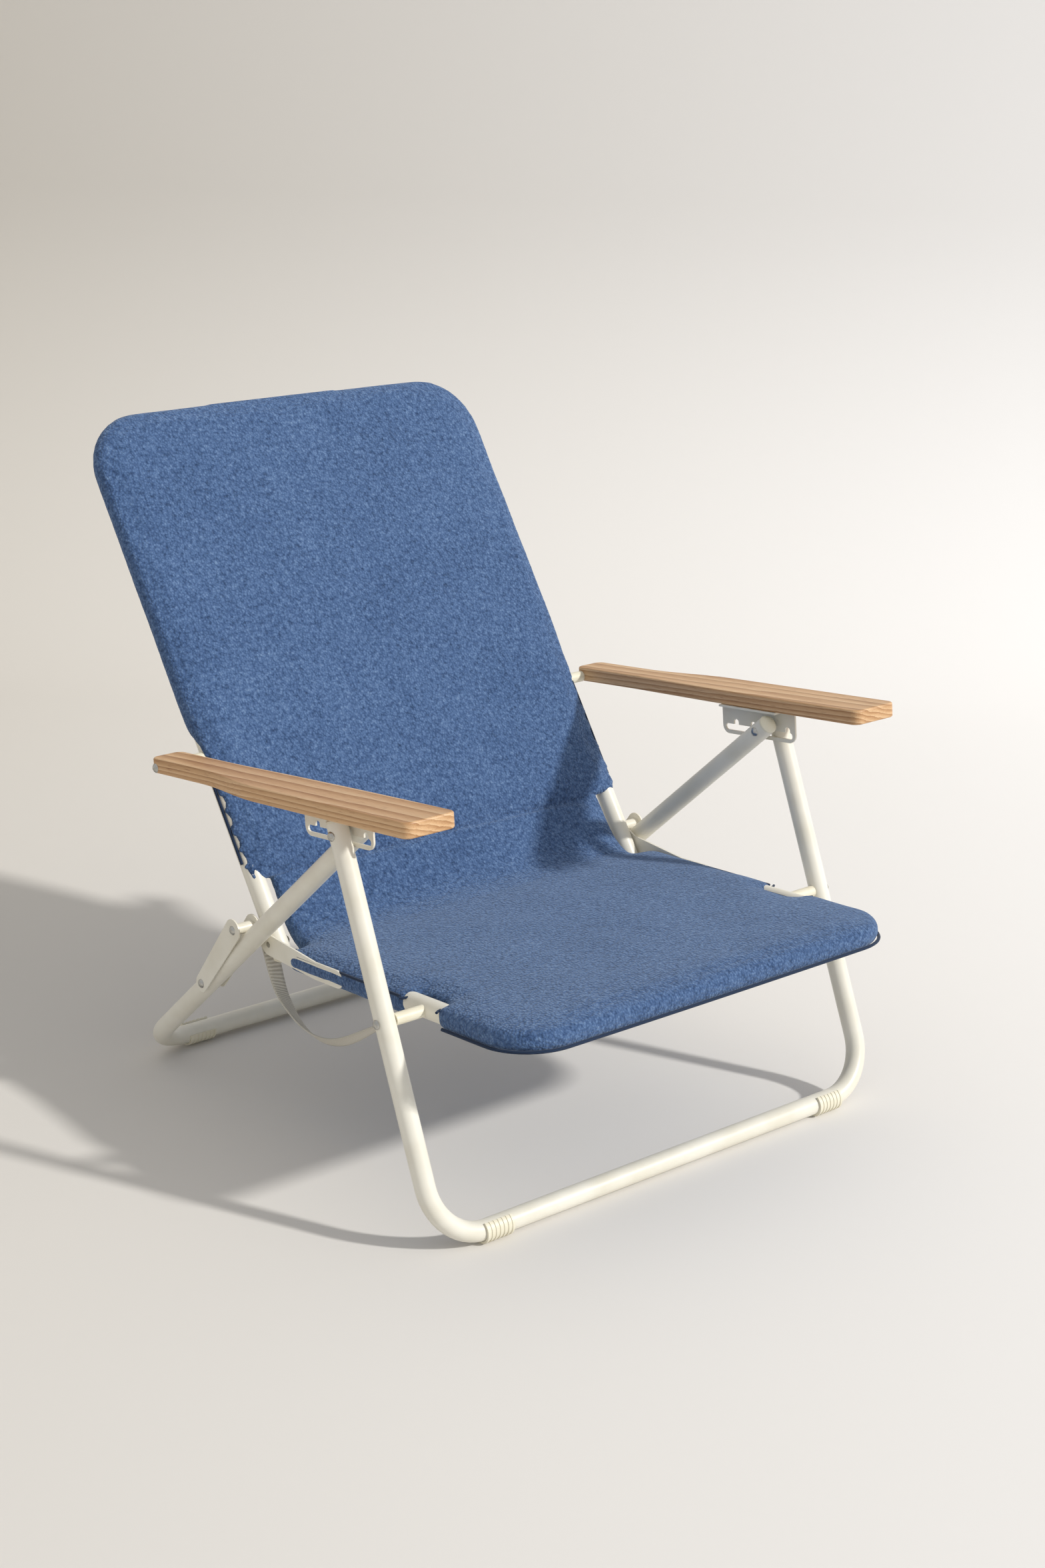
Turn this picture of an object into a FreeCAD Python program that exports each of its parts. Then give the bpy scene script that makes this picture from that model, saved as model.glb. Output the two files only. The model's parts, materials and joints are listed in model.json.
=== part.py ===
import FreeCAD, Part
import math
import os

# Folding low beach chair: two bent-tube leg frames, a bent-tube seat frame and
# back frame, wooden armrests with notched latch plates, and riveted pivots.
# Millimetres, +Z up, +Y towards the back of the chair, +X to the sitter's left
# seen from the front.  Each moving group is drawn in its own plane frame:
# local X across the chair, local Y along the member, local Z out of its plane.

DIMENSIONS = {
    # tube stock
    "tubedia": 20.0, "tubewall": 1.2,
    # side view: pivot of the crossed legs, floor bars
    "pivoty": 155.0, "pivotheight": 367.0, "rearbary": 533.0, "footwall": 2.4,
    # half widths to the tube axes
    "fronthalf": 286.0, "rearhalf": 259.0, "seathalf": 234.0,
    "legcorner": 55.0, "legover": 11.5,
    # seat frame
    "seatpivotshare": 0.5446, "seatslope": 5.0, "seatfront": 136.0,
    "seatrear": 178.0, "seatcorner": 45.0,
    # back frame and its hinge
    "hingey": 326.0, "hingeheight": 193.0, "backlean": 54.7, "backtop": 561.5,
    "backcorner": 62.0, "backfoot": 14.0, "armpivot": 200.0,
    # link between the rear leg and the seat bracket
    "eary": 351.0, "earheight": 206.0, "linkpivot": 346.5, "linkwall": 1.5,
    "linkwide": 18.0, "earwide": 23.0, "barreldia": 11.0,
    "plateclear": 1.2, "bracketwall": 2.0, "bracketgap": 0.2,
    # latch plate and its window
    "latchwall": 2.0, "latchgap": 1.4, "latchfront": 36.0, "latchback": 70.0,
    "latchbelow": 13.0, "latchcorner": 9.0, "latchrim": 4.0, "notchpitch": 25.0,
    "notchwide": 7.2, "flangewide": 17.0, "latchslot": 6.8,
    # armrest
    "armslope": 7.5, "armthick": 15.2, "armtop": 9.9, "armfront": 424.0,
    "armrear": 9.0, "arminfront": 255.8, "arminrear": 263.2, "armoutfront": 314.3,
    "armoutrear": 299.6, "armedge": 2.0, "armround": 9.0,
    # fasteners
    "rivetdia": 6.0, "pivotclear": 0.1, "headdia": 9.6, "headrise": 2.4,
    "headrim": 0.6, "spacerdia": 12.0, "screwdia": 4.0, "screwdeep": 10.0,
    # plastic parts
    "clipwide": 32.0, "clipfromend": 92.0, "clipsweep": 250.0, "ribdeep": 0.6,
    "plugdeep": 14.0, "plugrim": 2.0, "caprise": 5.0,
    # soft covers
    "seatpadtop": 11.0, "seatpadbottom": 12.0, "backpadfront": 9.5,
    "backpadback": 12.5, "padproud": 2.3, "padclear": 0.3, "padlow": 73.0, "sleevefront": 12.5,
    "sleevefrom": 232.0, "notchcover": 22.0, "seatpadrear": 235.0,
    # carry strap on the left: webbing and the place of its lowest point
    "strapthick": 1.8, "strapwide": 18.0, "strapy": 248.0, "strapz": 112.0,
}
RIB_COUNT = 7
SIDES = {"left": -1, "right": 1}

doc = FreeCAD.newDocument("beach_chair")
sheet = doc.addObject("Spreadsheet::Sheet", "dims")
for row, (alias, size) in enumerate(DIMENSIONS.items(), start=1):
    sheet.set("A%d" % row, alias)
    sheet.set("B%d" % row, str(size))
    sheet.setAlias("B%d" % row, alias)
doc.recompute()

nodes = []
V = FreeCAD.Vector
ACROSS = V(1, 0, 0)


def dim(alias):
    return float(sheet.get(alias))


def turn(degrees, axis=ACROSS):
    return FreeCAD.Rotation(axis, degrees)


def place(x=0.0, y=0.0, z=0.0, rotation=None):
    return FreeCAD.Placement(V(x, y, z), rotation or FreeCAD.Rotation())


def make(kind, name, placement=None, **sizes):
    """One primitive or boolean; a text size is an expression on the sheet."""
    obj = doc.addObject(kind, name)
    for prop, size in sizes.items():
        if isinstance(size, str):
            obj.setExpression(prop, size)
        else:
            setattr(obj, prop, size)
    if placement is not None:
        obj.Placement = placement
    return obj


def rod(name, x_from, length, y=0.0, z=0.0, radius="dims.rivetdia / 2"):
    """A cylinder across the chair, from x_from towards +X."""
    start = place(x_from, y, z, FreeCAD.Rotation(V(0, 1, 0), 90))
    return make("Part::Cylinder", name, start, Radius=radius, Height=length)


def across(name, side, near, far, y=0.0, z=0.0, radius="dims.rivetdia / 2"):
    """A rod between two distances from the middle, on the given side."""
    low, high = sorted((side * near, side * far))
    return rod(name, low, high - low, y, z, radius)


def slab(name, side, near, far, y_from, y_to, z_from, z_to):
    """A box between two distances from the middle, on the given side."""
    low, high = sorted((side * near, side * far))
    return make("Part::Box", name, place(low, y_from, z_from), Length=high - low,
                Width=y_to - y_from, Height=z_to - z_from)


def fuse(name, pieces):
    return pieces[0] if len(pieces) == 1 else make("Part::MultiFuse", name, Shapes=pieces)


def cut(name, base, tools):
    return make("Part::Cut", name, Base=base, Tool=fuse(name + "_tools", tools))


def keep(obj, node, body):
    """Names a finished piece and puts it in its group's plane."""
    obj.Label = node
    obj.Placement = FRAMES[body].multiply(obj.Placement)
    nodes.append(obj)
    return obj


def side_point(frame, y, z):
    """A point of the side view, given in a group's own plane frame."""
    local = FRAMES[frame].inverse().multVec(V(0, y, z))
    return local.y, local.z


# ---- side view geometry --------------------------------------------------
tube_r = dim("tubedia") / 2
bar_z = tube_r + dim("footwall")
pivot = V(0, dim("pivoty"), dim("pivotheight"))
front_bar = V(0, 0, bar_z)
rear_bar = V(0, dim("rearbary"), bar_z)
hinge = V(0, dim("hingey"), dim("hingeheight"))
ear = V(0, dim("eary"), dim("earheight"))
front_run = pivot - front_bar
rear_run = pivot - rear_bar
seat_pivot = front_bar + front_run * dim("seatpivotshare")
front_tilt = math.degrees(math.atan2(front_run.z, front_run.y))
rear_tilt = math.degrees(math.atan2(rear_run.z, rear_run.y))
link_foot = pivot - rear_run * (dim("linkpivot") / rear_run.Length)
link_run = ear - link_foot
link_tilt = math.degrees(math.atan2(link_run.z, link_run.y))
back_tilt = turn(dim("backlean"))
arm_hinge = hinge + back_tilt.multVec(V(0, dim("armpivot"), 0))

FRAMES = {
    "front_legs": FreeCAD.Placement(front_bar, turn(front_tilt)),
    "rear_legs": FreeCAD.Placement(rear_bar, turn(rear_tilt)),
    "seat": FreeCAD.Placement(seat_pivot, turn(-dim("seatslope"))),
    "back": FreeCAD.Placement(hinge, back_tilt),
    "arms": FreeCAD.Placement(arm_hinge, turn(-dim("armslope"))),
    "links": FreeCAD.Placement(link_foot, turn(link_tilt)),
}

# ---- layers across the chair, measured to the right -----------------------
seat_out = dim("seathalf") + tube_r
rear_in = dim("rearhalf") - tube_r
rear_out = dim("rearhalf") + tube_r
front_in = dim("fronthalf") - tube_r
front_out = dim("fronthalf") + tube_r
bracket_x = seat_out + dim("bracketgap")
link_in_x = rear_in - 1.0 - dim("linkwall")
link_out_x = rear_out + dim("plateclear")
latch_x = front_in - dim("latchgap") - dim("latchwall")
rivet_r = dim("rivetdia") / 2
hole_r = "dims.rivetdia / 2 + dims.pivotclear"


def u_frame(name, half, foot, head, corner, radius):
    """Solid U: a bar at `foot` with two legs running along +Y to `head`."""
    step = 1 if head > foot else -1
    bend = foot + step * corner
    parts = []
    for side in (-1, 1):
        leg_turn = turn(-90 * step)
        leg_length = abs(head - bend)
        parts.append(make("Part::Cylinder", name + "_leg", place(side * half, bend, 0, leg_turn),
                          Radius=radius, Height=leg_length))
        start = {(-1, 1): 180, (1, 1): 270, (-1, -1): 90, (1, -1): 0}[(side, step)]
        parts.append(make("Part::Torus", name + "_bend",
                          place(side * (half - corner), bend, 0, turn(start, V(0, 0, 1))),
                          Radius1=corner, Radius2=radius, Angle3=90.0))
    parts.append(rod(name + "_bar", -(half - corner), 2 * (half - corner), foot, 0, radius))
    return fuse(name + "_solid", parts)


def tube_frame(name, half, foot, head, corner, holes):
    """Bent hollow tube with drilled pivot holes; `holes` are places along Y."""
    outer = u_frame(name + "_outer", half, foot, head, corner, "dims.tubedia / 2")
    inner = u_frame(name + "_inner", half, foot, head + math.copysign(1.0, head - foot), corner,
                    "dims.tubedia / 2 - dims.tubewall")
    drills = [rod(name + "_drill", -half - 15, 2 * half + 30, y, 0, hole_r) for y in holes]
    return cut(name, outer, [inner] + drills)


def tube_clear(name, x, tilt, gap, y=0.0, z=0.0):
    """A straight length of a tube's outline, grown by `gap`, as a cutter."""
    axis = turn(tilt - 90)
    centre = place(x, y, z, axis).multiply(place(0, 0, -30))
    return make("Part::Cylinder", name, centre, Radius="dims.tubedia / 2 + %s" % gap, Height=60.0)


def turned(name, outline, placement):
    """A solid of revolution about local X; `outline` lists (x, radius) points,
    and a third number marks an arc that bulges through (x, radius, mid x, mid r)."""
    edges = []
    for first, second in zip(outline, outline[1:] + outline[:1]):
        start, end = V(first[0], first[1], 0), V(second[0], second[1], 0)
        if len(second) == 4:
            edges.append(Part.Arc(start, V(second[2], second[3], 0), end).toShape())
        else:
            edges.append(Part.makeLine(start, end))
    obj = doc.addObject("Part::Feature", name)
    obj.Shape = Part.Face(Part.Wire(edges)).revolve(V(0, 0, 0), ACROSS, 360)
    obj.Placement = placement
    return obj


def dome_arc(flat_x, radius, rise, way):
    """Two outline points of a domed end: its rim at flat_x, then its crown."""
    ball_r = (radius ** 2 + rise ** 2) / (2 * rise)
    half = math.asin(radius / ball_r) / 2
    centre = flat_x + way * (rise - ball_r)
    return (flat_x, radius), (flat_x + way * rise, 0.0, centre + way * ball_r * math.cos(half),
                              ball_r * math.sin(half))


def rivet(node, body, side, x_in, x_out, y, z, bed_in=None, bed_out=None,
          head_in=True, head_out=True):
    """A rivet from x_in to x_out (distances from the middle) with domed heads.
    A bed is the (x, tilt) of a tube of the rivet's own group, and the head on
    it is seated on that tube; a head on a moving piece stays flat."""
    head_r, rise = dim("headdia") / 2, dim("headrise")
    rim_in = dim("headrim") + 1.0 if bed_in else 0.0
    rim_out = dim("headrim") + 1.0 if bed_out else 0.0
    outline = []
    if head_in:
        edge, crown = dome_arc(x_in, head_r, rise, -1)
        outline += [(crown[0], 0.0), edge + (crown[2], crown[3]), (x_in + rim_in, head_r)]
        outline.append((x_in + rim_in, rivet_r))
    else:
        outline += [(x_in, 0.0), (x_in, rivet_r)]
    if head_out:
        edge, crown = dome_arc(x_out, head_r, rise, 1)
        outline += [(x_out - rim_out, rivet_r), (x_out - rim_out, head_r), edge, crown]
    else:
        outline += [(x_out, rivet_r), (x_out, 0.0)]
    outline = [point for number, point in enumerate(outline)
               if number == 0 or point[:2] != outline[number - 1][:2]]
    flip = turn(180, V(0, 1, 0)) if side < 0 else turn(0)
    whole = turned(node + "_whole", outline, place(0, y, z, flip))
    beds = []
    for x, tilt in [bed for bed in (bed_in, bed_out) if bed]:
        outline = tube_clear(node + "_bed", side * x, tilt, "0.02", y, z)
        bore = rod(node + "_core", side * x - 15, 30, y, z, rivet_r)
        beds.append(make("Part::Cut", node + "_bedcut", Base=outline, Tool=bore))
    return keep(cut(node, whole, beds) if beds else whole, node, body)


def strap_plate(name, x, wall, points, holes):
    """A flat plate across X made of round-ended links between (y, z, radius)."""
    parts = []
    for y, z, radius in points:
        parts.append(rod(name + "_round", x, wall, y, z, radius))
    for (y1, z1, r1), (y2, z2, r2) in zip(points, points[1:]):
        run = math.hypot(y2 - y1, z2 - z1)
        tilt = math.degrees(math.atan2(z2 - z1, y2 - y1))
        # the straight sides are the common tangents of the two rounds
        lean = math.asin((r1 - r2) / run)
        corners = []
        for up in (1, -1):
            for at, radius in ((0.0, r1), (run, r2)):
                corners.append((at + radius * math.sin(lean), up * radius * math.cos(lean)))
        order = [corners[0], corners[1], corners[3], corners[2], corners[0]]
        wire = Part.makePolygon([V(0, a, b) for a, b in order])
        web = doc.addObject("Part::Feature", name + "_web")
        web.Shape = Part.Face(wire).extrude(V(wall, 0, 0))
        web.Placement = place(x, y1, z1, turn(tilt))
        parts.append(web)
    whole = fuse(name + "_whole", parts)
    drills = [rod(name + "_hole", x - 1, wall + 2, y, z, hole_r) for y, z in holes]
    return cut(name, whole, drills)


def board_outline(side):
    """Closed outline of an armrest seen from above, in its own plane."""
    front, rear = -dim("armfront"), dim("armrear")
    inner_front, inner_rear = dim("arminfront"), dim("arminrear")
    outer_front, outer_rear = dim("armoutfront"), dim("armoutrear")
    neck, shoulder = rear - 0.19 * (rear - front), rear - 0.47 * (rear - front)
    reach = 0.4 * (neck - shoulder)

    def bend(points):
        curve = Part.BezierCurve()
        curve.setPoles([V(side * x, y, 0) for x, y in points])
        return curve.toShape()

    edges = [
        Part.makeLine(V(side * outer_rear, rear, 0), V(side * outer_rear, neck, 0)),
        bend([(outer_rear, neck), (outer_rear, neck - reach),
              (outer_front - 1.5, shoulder + reach), (outer_front - 1.5, shoulder)]),
        Part.makeLine(V(side * (outer_front - 1.5), shoulder, 0), V(side * outer_front, front, 0)),
        Part.makeLine(V(side * outer_front, front, 0), V(side * inner_front, front, 0)),
        bend([(inner_front, front), (inner_front, front / 2),
              (inner_rear, neck - reach), (inner_rear, neck)]),
        Part.makeLine(V(side * inner_rear, neck, 0), V(side * inner_rear, rear, 0)),
        Part.makeLine(V(side * inner_rear, rear, 0), V(side * outer_rear, rear, 0)),
    ]
    return Part.Wire(edges)


def armrest(side):
    """Board cut to its outline, corners rounded, all long edges eased."""
    board = doc.addObject("Part::Feature", "board")
    blank = Part.Face(board_outline(side)).extrude(V(0, 0, dim("armthick")))
    corners = [edge for edge in blank.Edges
               if abs(edge.tangentAt(edge.FirstParameter).z) > 0.99
               and (abs(edge.CenterOfMass.y + dim("armfront")) < 0.1
                    or abs(edge.CenterOfMass.y - dim("armrear")) < 0.1)]
    blank = blank.makeFillet(dim("armround"), corners)
    flat = [edge for edge in blank.Edges
            if abs(edge.BoundBox.ZLength) < 0.01]
    blank = blank.makeFillet(dim("armedge"), flat)
    board.Shape = blank
    board.Placement = place(0, 0, dim("armtop") - dim("armthick"))
    flange_z = dim("armtop") - dim("armthick")
    drills = [across("arm_bore", side, dim("arminrear") - 20, dim("armoutrear") + 20, 0, 0, hole_r)]
    for y in screw_places():
        drills.append(make("Part::Cylinder", "pilot", place(side * screw_x(), y, flange_z - 1),
                           Radius="dims.screwdia / 2", Height=dim("screwdeep") + 1))
    return cut("armrest", board, drills)


def screw_places():
    middle = pin_y + (dim("latchback") - dim("latchfront")) / 2
    return (middle - 32.0, middle + 32.0)


def screw_x():
    return latch_x - dim("flangewide") / 2


def latch_plate(side):
    """Notched plate under the armrest: one window with a channel and four notches."""
    top = dim("armtop") - dim("armthick")
    low = pin_z - dim("latchbelow")
    front, back = pin_y - dim("latchfront"), pin_y + dim("latchback")
    corner, wall = dim("latchcorner"), dim("latchwall")
    near, far = latch_x, latch_x + wall
    blank = [slab("latch_body", side, near, far, front, back, low + corner, top),
             slab("latch_low", side, near, far, front + corner, back - corner, low, low + corner + 1)]
    for y in (front + corner, back - corner):
        blank.append(across("latch_round", side, near, far, y, low + corner, "dims.latchcorner"))
    blank.append(slab("latch_flange", side, near - dim("flangewide"), near + 1,
                      min(screw_places()) - 9, max(screw_places()) + 9, top - wall, top))
    window = []
    rim, slot = dim("latchrim"), dim("latchslot")
    channel_mid = low + rim + slot / 2
    ends = (front + rim + slot / 2, back - rim - slot / 2)
    window.append(slab("channel", side, near - 1, far + 1, ends[0], ends[1],
                       low + rim, low + rim + slot))
    for y in ends:
        window.append(across("channel_end", side, near - 1, far + 1, y, channel_mid, "dims.latchslot / 2"))
    half = dim("notchwide") / 2
    for number in (-1, 0, 1, 2):
        y = pin_y + number * dim("notchpitch")
        window.append(slab("notch", side, near - 1, far + 1, y - half, y + half, channel_mid, pin_z))
        window.append(across("notch_top", side, near - 1, far + 1, y, pin_z, "dims.notchwide / 2"))
    drills = [make("Part::Cylinder", "flange_hole", place(side * screw_x(), y, top - wall - 1),
                   Radius="dims.screwdia / 2", Height=wall + 2) for y in screw_places()]
    return cut("latch_plate", fuse("latch_blank", blank), window + drills)


def latch_screws(side):
    top = dim("armtop") - dim("armthick") - dim("latchwall")
    screws = []
    for y in screw_places():
        shank = make("Part::Cylinder", "screw", place(side * screw_x(), y, top),
                     Radius="dims.screwdia / 2", Height="dims.screwdeep + dims.latchwall - 1")
        head = make("Part::Cone", "screw_head", place(side * screw_x(), y, top - 1.6),
                    Radius1="dims.screwdia / 2", Radius2="dims.screwdia * 0.9", Height=1.6)
        screws.append(fuse("screw_whole", [shank, head]))
    return fuse("screws", screws)


def foot_clip(side, half, up):
    """Ribbed plastic clip sprung over the floor bar, open on the inside of the frame."""
    wide, wall = dim("clipwide"), dim("footwall")
    middle = side * (half - dim("clipfromend") + dim("legcorner") / 2)
    start = middle - wide / 2
    step = wide / (2 * RIB_COUNT - 1)
    tilt = front_tilt if up < 0 else rear_tilt
    # the clip is centred under the bar, whatever the slope of the legs
    opening = 270.0 - tilt - dim("clipsweep") / 2 + up * 25.0
    parts = []
    for number in range(2 * RIB_COUNT - 1):
        radius = "dims.tubedia / 2 + dims.footwall"
        if number % 2:
            radius += " - dims.ribdeep"
        ring = rod("rib", start + number * step, step, 0, 0, radius)
        parts.append(ring)
    band = fuse("clip_band", parts)
    wedge = clip_wedge(opening, start, wide)
    core = rod("clip_core", start - 1, wide + 2, 0, 0, "dims.tubedia / 2 + 0.1")
    return cut("foot_clip", make("Part::Common", "clip_c", Base=band, Tool=wedge), [core])


def clip_wedge(opening, start, wide):
    """The part of a disc across X that the clip covers."""
    wedge = doc.addObject("Part::Feature", "clip_wedge")
    reach = dim("tubedia")
    arc = Part.Arc(
        V(0, reach * math.cos(math.radians(opening)), reach * math.sin(math.radians(opening))),
        V(0, reach * math.cos(math.radians(opening + dim("clipsweep") / 2)),
          reach * math.sin(math.radians(opening + dim("clipsweep") / 2))),
        V(0, reach * math.cos(math.radians(opening + dim("clipsweep"))),
          reach * math.sin(math.radians(opening + dim("clipsweep"))))).toShape()
    first, last = arc.Vertexes[0].Point, arc.Vertexes[-1].Point
    wire = Part.Wire([Part.makeLine(V(0, 0, 0), first), arc, Part.makeLine(last, V(0, 0, 0))])
    wedge.Shape = Part.Face(wire).extrude(V(wide, 0, 0))
    wedge.Placement = place(start, 0, 0)
    return wedge


def tube_cap(side, half, end, way):
    """Plastic end cap: a domed rim on the tube's end with a plug inside it."""
    plug_r = tube_r - dim("tubewall") - 0.05
    edge, crown = dome_arc(dim("plugrim"), tube_r, dim("caprise"), 1)
    outline = [(-dim("plugdeep"), 0.0), (-dim("plugdeep"), plug_r), (0.0, plug_r), (0.0, tube_r),
               edge, crown]
    whole = turned("cap_whole", outline, place(side * half, end, 0, turn(90 * way, V(0, 0, 1))))
    return cut("tube_cap", whole, pivot_clearance(side, half, end, way))


def pivot_clearance(side, half, end, way):
    """Room in a plug for the rivet that crosses the tube just inside its end."""
    hole = end - way * (dim("legover") if half != dim("seathalf") or way < 0 else dim("plugdeep"))
    if half == dim("seathalf"):
        hole = 0.0 if way < 0 else bracket_spots[0]
    return [across("cap_cross", side, half - 12, half + 12, hole, 0, "dims.rivetdia / 2 + 0.6")]


def pad_block(name, half, y_from, y_to, z_from, z_to, corner):
    """Flat cushion block with rounded corners at its y_to end."""
    low, high = sorted((y_from, y_to))
    way = 1 if y_to > y_from else -1
    tall = z_to - z_from
    parts = [make("Part::Box", name + "_long", place(-half, min(y_from, y_to - way * corner), z_from),
                  Length=2 * half, Width=high - low - corner, Height=tall),
             make("Part::Box", name + "_mid", place(-half + corner, low, z_from),
                  Length=2 * (half - corner), Width=high - low, Height=tall)]
    for side in (-1, 1):
        parts.append(make("Part::Cylinder", name + "_corner",
                          place(side * (half - corner), y_to - way * corner, z_from),
                          Radius=corner, Height=tall))
    return fuse(name, parts)


def seat_cover():
    """Sewn sleeve of the seat, solid between and round the seat tubes."""
    low, high = -dim("seatpadbottom"), dim("seatpadtop")
    proud = tube_r + dim("padproud")
    half = seat_out - dim("padclear")
    front = -dim("seatfront") - proud
    body = pad_block("seat_pad", half, dim("seatrear") - 2, front, low, high,
                     dim("seatcorner") + dim("padproud"))
    tongue_half = seat_in - 4.0
    tongue = make("Part::Box", "seat_tongue", place(-tongue_half, dim("seatrear") - 4, low),
                  Length=2 * tongue_half, Width=dim("seatpadrear") - dim("seatrear") + 4,
                  Height=high - low)
    holes = [u_frame("seat_cover_core", dim("seathalf"), -dim("seatfront"), dim("seatrear") + 30,
                     dim("seatcorner"), "dims.tubedia / 2 + 0.05")]
    for side in (-1, 1):
        holes.append(slab("notch", side, seat_in - 4, seat_out + 4, -dim("notchcover"),
                          dim("notchcover"), low - 1, high + 1))
        holes.append(slab("bracket_room", side, seat_in - 4, seat_out + 4, bracket_spots[1] - 12,
                          dim("seatrear") + 4, low - 1, high + 1))
    return cut("seat_cover", fuse("seat_cover_blank", [body, tongue]), holes)


def back_cover():
    """Padded sleeve of the back, pulled over the top bend of the back frame."""
    low, high = -dim("backpadback"), dim("backpadfront")
    proud = tube_r + dim("padproud")
    half = dim("seathalf") + proud
    body = pad_block("back_pad", half, dim("sleevefrom"), dim("backtop") + proud, low,
                     dim("sleevefront"), dim("backcorner") + dim("padproud"))
    tongue_half = seat_in - 4.0
    tongue = make("Part::Box", "back_tongue", place(-tongue_half, dim("padlow"), low),
                  Length=2 * tongue_half, Width=dim("sleevefrom") - dim("padlow") + 2,
                  Height=high - low)
    core = u_frame("back_cover_core", dim("seathalf"), dim("backtop"), 0.0, dim("backcorner"),
                   "dims.tubedia / 2 + 0.05")
    return cut("back_cover", fuse("back_cover_blank", [body, tongue]), [core])


def carry_strap():
    """Webbing strap hanging in a loop from the seat tube to the seat bracket."""
    half_thick = dim("strapthick") / 2
    low_y, low_z = side_point("seat", dim("strapy"), dim("strapz"))
    under = -dim("seatpadbottom") - half_thick
    spine = [V(0, dim("notchcover") / 2, -tube_r - half_thick - 0.02),
             V(0, dim("notchcover") + 4, under - 3), V(0, low_y - 55, low_z * 0.64),
             V(0, low_y, low_z), V(0, low_y + 50, low_z * 0.72),
             V(0, ear_y - 14, ear_z - 30), V(0, ear_y - 6, ear_z - 10.5)]
    curve = Part.BSplineCurve()
    curve.interpolate(spine)
    first, last = curve.FirstParameter, curve.LastParameter
    rims = ([], [])
    for step in range(31):
        at = first + (last - first) * step / 30
        point, (along,) = curve.value(at), curve.tangent(at)
        across_it = V(0, -along.z, along.y)
        rims[0].append(point + across_it * half_thick)
        rims[1].append(point - across_it * half_thick)
    edges = []
    for rim in rims:
        side_curve = Part.BSplineCurve()
        side_curve.interpolate(rim)
        edges.append(side_curve.toShape())
    ends = [Part.makeLine(rims[0][index], rims[1][index]) for index in (0, -1)]
    outline = Part.Wire([edges[0], ends[1], edges[1], ends[0]])
    strap = doc.addObject("Part::Feature", "strap_web")
    strap.Shape = Part.Face(outline).extrude(V(dim("strapwide"), 0, 0))
    strap.Placement = place(-bracket_x + 0.1, 0, 0)
    return strap


# ---- tube frames -----------------------------------------------------------
front_len = front_run.Length
rear_len = rear_run.Length
seat_hole = front_len * dim("seatpivotshare")
link_hole = rear_len - dim("linkpivot")
bracket_spots = (dim("seatrear") - 14, dim("seatrear") - 50)

keep(tube_frame("front_leg_frame", dim("fronthalf"), 0, front_len + dim("legover"),
                dim("legcorner"), (seat_hole, front_len)), "front_leg_frame", "front_legs")
keep(tube_frame("rear_leg_frame", dim("rearhalf"), 0, rear_len + dim("legover"),
                dim("legcorner"), (link_hole, rear_len)), "rear_leg_frame", "rear_legs")
keep(tube_frame("seat_frame", dim("seathalf"), -dim("seatfront"), dim("seatrear"),
                dim("seatcorner"), (0,) + bracket_spots), "seat_frame", "seat")
keep(tube_frame("back_frame", dim("seathalf"), dim("backtop"), -dim("backfoot"),
                dim("backcorner"), (0, dim("armpivot"))), "back_frame", "back")

# ---- rivets, spacers, brackets, links, one set on each side ----------------
bracket_out = bracket_x + dim("bracketwall")
seat_in = dim("seathalf") - tube_r
front_angle = front_tilt + dim("seatslope")
hinge_y, hinge_z = side_point("seat", hinge.y, hinge.z)
ear_y, ear_z = side_point("seat", ear.y, ear.z)
pin_y, pin_z = side_point("arms", pivot.y, pivot.z)

clear = dim("pivotclear")
seat_tube = (dim("seathalf"), 0)
front_tube, rear_tube = (dim("fronthalf"), 0), (dim("rearhalf"), 0)
spots = [(y, 0) for y in bracket_spots]

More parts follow.
